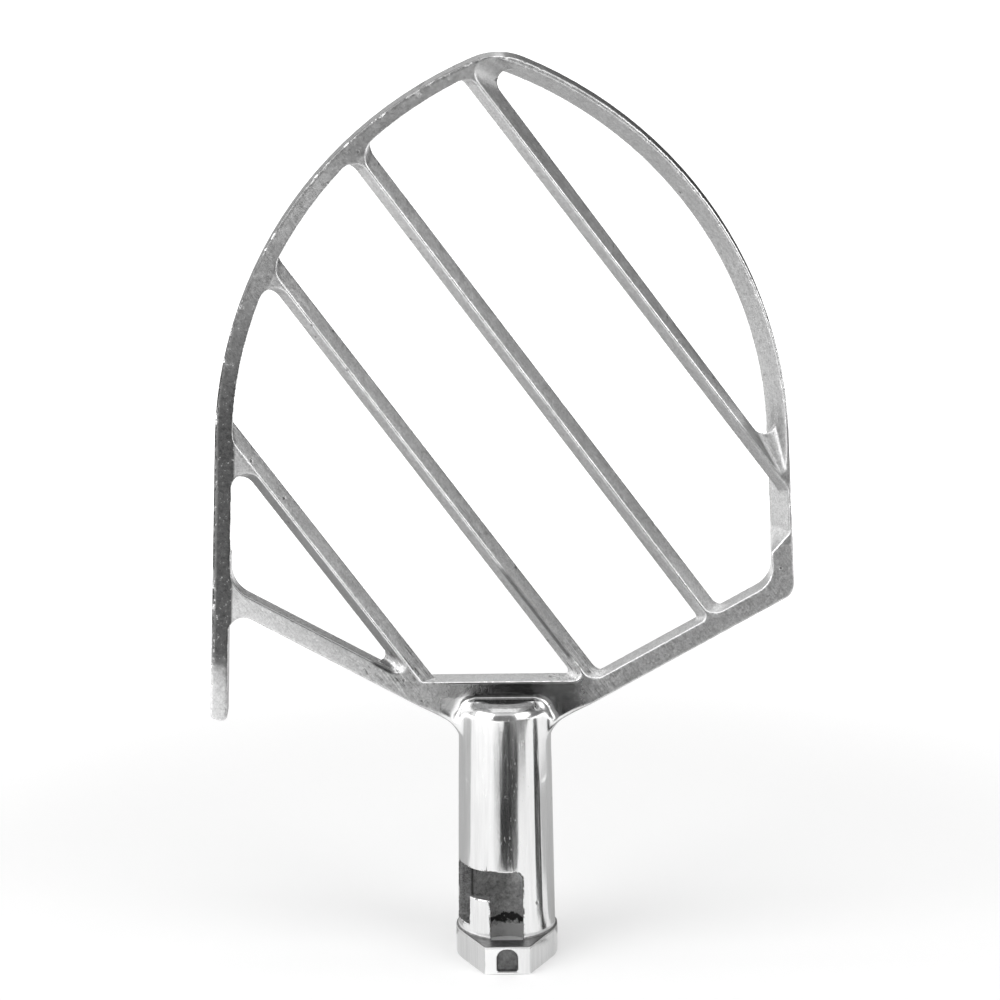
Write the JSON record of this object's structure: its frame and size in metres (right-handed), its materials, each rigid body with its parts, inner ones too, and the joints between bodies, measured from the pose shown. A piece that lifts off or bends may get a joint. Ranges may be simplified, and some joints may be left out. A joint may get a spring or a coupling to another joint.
{
  "type": "stand mixer flat beater",
  "caption": "Cast aluminium flat beater for a planetary stand mixer, with a pointed arch rim, slanted bars, a long tail on one side and a bayonet shaft hub",
  "frame": {"origin": "centre of the shaft bore in the flat end of the hub's collar", "axes": "+Z along the shaft axis from the hub's mouth to the tip of the arch, -Y out of the side with the pin's slot, +X across the blade away from the long tail"},
  "size_m": [0.2105, 0.0436, 0.3326],
  "materials": {
    "cast_aluminium": "burnished casting with a polished hub"
  },
  "bodies": {
    "root": {"flat_beater": "cast_aluminium"}
  },
  "joints": []
}
